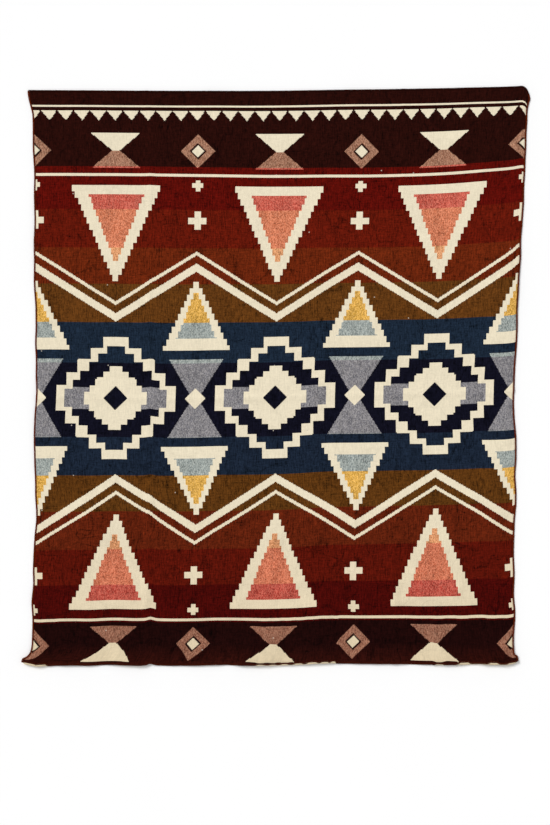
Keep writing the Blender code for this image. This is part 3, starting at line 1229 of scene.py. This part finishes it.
def cloth_material(name, reverse):
    """The woven cloth: its reverse shows the two yarns the other way round."""
    material, tree, shader = start_material(name, roughness=0.94, specular=0.03, sheen=0.03)
    uv = tree.nodes.new("ShaderNodeUVMap")
    uv.uv_map = "cloth"
    place = tree.nodes.new("ShaderNodeSeparateXYZ")
    tree.links.new(uv.outputs["UV"], place.inputs["Vector"])
    across = Reading(tree, place.outputs["X"]) - CLOTH_WIDTH / 2
    down = CLOTH_LENGTH - Reading(tree, place.outputs["Y"])

    figures = put_group(tree, WEAVE["figures"], Across=across, Down=down)
    bands = put_group(tree, WEAVE["bands"], Down=down)
    threads = put_group(tree, WEAVE["threads"], Across=across, Down=down, Pitch=THREAD_PITCH)
    nap = put_group(tree, WEAVE["nap"], Across=across, Down=down)
    light = Reading(tree, figures.outputs["Light"])
    mixed = Reading(tree, figures.outputs["Mixed"])
    if reverse:
        light = (1.0 - light).without(mixed)

    chance = Reading(tree, threads.outputs["Chance"]) - 0.5
    lighter = (chance > 0.0) & mixed
    yarns = mixed_colour(tree, mixed, bands.outputs["Ground"], bands.outputs["Mixed"])
    yarns = mixed_colour(tree, lighter * LIGHTER_CROSSING, yarns, bands.outputs["Light"])
    colour = mixed_colour(tree, light, yarns, bands.outputs["Light"])
    streak = Reading(tree, nap.outputs["Streak"]) - 0.5
    fleck = Reading(tree, nap.outputs["Fleck"]) - 0.5
    cloud = Reading(tree, nap.outputs["Cloud"]) - 0.5
    relief = Reading(tree, threads.outputs["Height"]) - 0.5
    crease = Reading(tree, nap.outputs["Crease"])
    texture = (
        weighed(streak, mixed, *STREAK_SHADE)
        + weighed(fleck, mixed, *FLECK_SHADE)
        + weighed(chance, mixed, *CROSSING_SHADE)
        # Painted shade: the threads' crests are painted lighter than the dips between them.
        + relief * THREAD_PAINTED_SHADE
        + cloud * CLOUD_SHADE
        # Painted shade: the fine creases are painted darker.
        - weighed(crease, mixed, *CREASE_PAINTED_SHADE)
    )
    shade = texture * (1.0 - light * SHADE_LOST_ON_LIGHT) + 1.0
    colour = shaded_colour(tree, colour, shade)
    lint = Reading(tree, nap.outputs["Lint"]) * LINT_COVER
    colour = mixed_colour(tree, lint, colour, tone(LINT))
    tree.links.new(colour, shader.inputs["Base Color"])

    height = relief * THREAD_RELIEF + streak - crease
    raised(tree, shader, height, strength=0.45, distance=0.0007)
    return material


# The yarn's fibres and its uneven patches: so many to a metre, and how
# strongly each shades it.
YARN_FIBRES, FIBRE_SHADE = 1600.0, 1.2
YARN_PATCHES, PATCH_SHADE = 60.0, 0.8


def edging_material(name, colour):
    """The wool yarn of the edging, fibrous and a little uneven."""
    material, tree, shader = start_material(name, roughness=0.92, specular=0.02, sheen=0.02)
    place = tree.nodes.new("ShaderNodeTexCoord")
    fibre = tree.nodes.new("ShaderNodeTexNoise")
    fibre.inputs["Scale"].default_value = YARN_FIBRES
    fibre.inputs["Detail"].default_value = 2.0
    patch = tree.nodes.new("ShaderNodeTexNoise")
    patch.inputs["Scale"].default_value = YARN_PATCHES
    for texture in (fibre, patch):
        tree.links.new(place.outputs["Object"], texture.inputs["Vector"])
    fine = Reading(tree, fibre.outputs["Fac"]) - 0.5
    broad = Reading(tree, patch.outputs["Fac"]) - 0.5
    plain = tree.nodes.new("ShaderNodeRGB")
    plain.outputs["Color"].default_value = tone(colour)
    shade = fine * FIBRE_SHADE + broad * PATCH_SHADE + 1.0
    yarn = shaded_colour(tree, plain.outputs["Color"], shade)
    tree.links.new(yarn, shader.inputs["Base Color"])
    raised(tree, shader, fine, strength=0.4, distance=0.0003)
    return material


FLOOR_TONES = ((0.965, 0.965, 0.965, 1.0), (0.99, 0.99, 0.99, 1.0))
FLOOR_WIDTH = 240.0
FLOOR_LEVEL = -0.0002


def floor_material():
    """A plain pale floor."""
    material, tree, shader = start_material(
        "pale_floor", roughness=0.95, specular=0.10, sheen=0.0
    )
    place = tree.nodes.new("ShaderNodeTexCoord")
    grain = tree.nodes.new("ShaderNodeTexNoise")
    grain.inputs["Scale"].default_value = 3.0
    tree.links.new(place.outputs["Object"], grain.inputs["Vector"])
    share = Reading(tree, grain.outputs["Fac"])
    pale = tree.nodes.new("ShaderNodeRGB")
    pale.outputs["Color"].default_value = FLOOR_TONES[0]
    colour = mixed_colour(tree, share * 0.5, pale.outputs["Color"], FLOOR_TONES[1])
    tree.links.new(colour, shader.inputs["Base Color"])
    return material


def lay_floor():
    """Lay a wide plain floor just under the throw."""
    start_piece()
    bpy.ops.mesh.primitive_plane_add(size=FLOOR_WIDTH, location=(0.0, 0.0, FLOOR_LEVEL))
    floor = bpy.context.object
    floor.name = "pale_floor"
    floor.data.materials.append(floor_material())


# The photograph's size in pixels, a pixel's size on the throw, and the pixel
# where the flat plan has its own middle.
PHOTO_WIDTH, PHOTO_HEIGHT = 550, 825
PIXEL = 0.0033
PLAN_MIDDLE_PIXEL = (275.5, 376.0)
LENS = 85.0
SENSOR = 36.0


def add_camera():
    """Look straight down, as the photograph does, a little below the middle."""
    x = (PHOTO_WIDTH / 2 - PLAN_MIDDLE_PIXEL[0]) * PIXEL - MIDDLE[0]
    y = (PLAN_MIDDLE_PIXEL[1] - PHOTO_HEIGHT / 2) * PIXEL - MIDDLE[1]
    camera_data = bpy.data.cameras.new("camera")
    camera_data.lens = LENS
    camera_data.sensor_width = SENSOR
    camera = bpy.data.objects.new("camera", camera_data)
    camera.location = (x, y, PHOTO_HEIGHT * PIXEL * LENS / SENSOR)
    bpy.context.scene.collection.objects.link(camera)
    bpy.context.scene.camera = camera


# The room's brightness by height over the horizon, as the sine of that angle:
# a white backdrop low down, and a softer ceiling.
ROOM_TONES = ((0.0, 1.0), (0.10, 1.0), (0.24, 0.54))


def light_room(tree):
    """Light the scene evenly from all round, with a white backdrop low down."""
    place = tree.nodes.new("ShaderNodeTexCoord")
    parts = tree.nodes.new("ShaderNodeSeparateXYZ")
    ramp = tree.nodes.new("ShaderNodeValToRGB")
    tree.links.new(place.outputs["Generated"], parts.inputs["Vector"])
    tree.links.new(parts.outputs["Z"], ramp.inputs["Fac"])
    tree.links.new(ramp.outputs["Color"], tree.nodes["Background"].inputs["Color"])
    stops = ramp.color_ramp.elements
    while len(stops) > 1:
        stops.remove(stops[-1])
    for height, brightness in ROOM_TONES:
        stop = stops[0] if height == 0.0 else stops.new(height)
        stop.color = (brightness, brightness, brightness, 1.0)


KEY_STRENGTH = 2.0
KEY_SOFTNESS = math.radians(25)
KEY_TURN = (math.radians(-28), math.radians(-32), 0.0)


def add_lights():
    """A large soft light from the upper left, and an even white room."""
    sun_data = bpy.data.lights.new("soft_key", "SUN")
    sun_data.energy = KEY_STRENGTH
    sun_data.angle = KEY_SOFTNESS
    sun = bpy.data.objects.new("soft_key", sun_data)
    sun.rotation_euler = KEY_TURN
    bpy.context.scene.collection.objects.link(sun)
    world = bpy.data.worlds.new("white_room")
    world.use_nodes = True
    light_room(world.node_tree)
    bpy.context.scene.world = world
    bpy.context.scene.view_settings.view_transform = "Standard"


add_camera()
add_lights()
lay_floor()

cloth = make_cloth()
patterns = [take_pattern(make_loop()), take_pattern(make_needle_stitch())]
for side in ("top", "left", "right", "hem"):
    yarn = edging_material("yarn_" + side, EDGING_YARN[side])
    strip = string_stitches(side, patterns, yarn)
    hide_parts("edging_" + side)
    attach(strip, "root")
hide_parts("throw_cloth")
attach(cloth, "root")
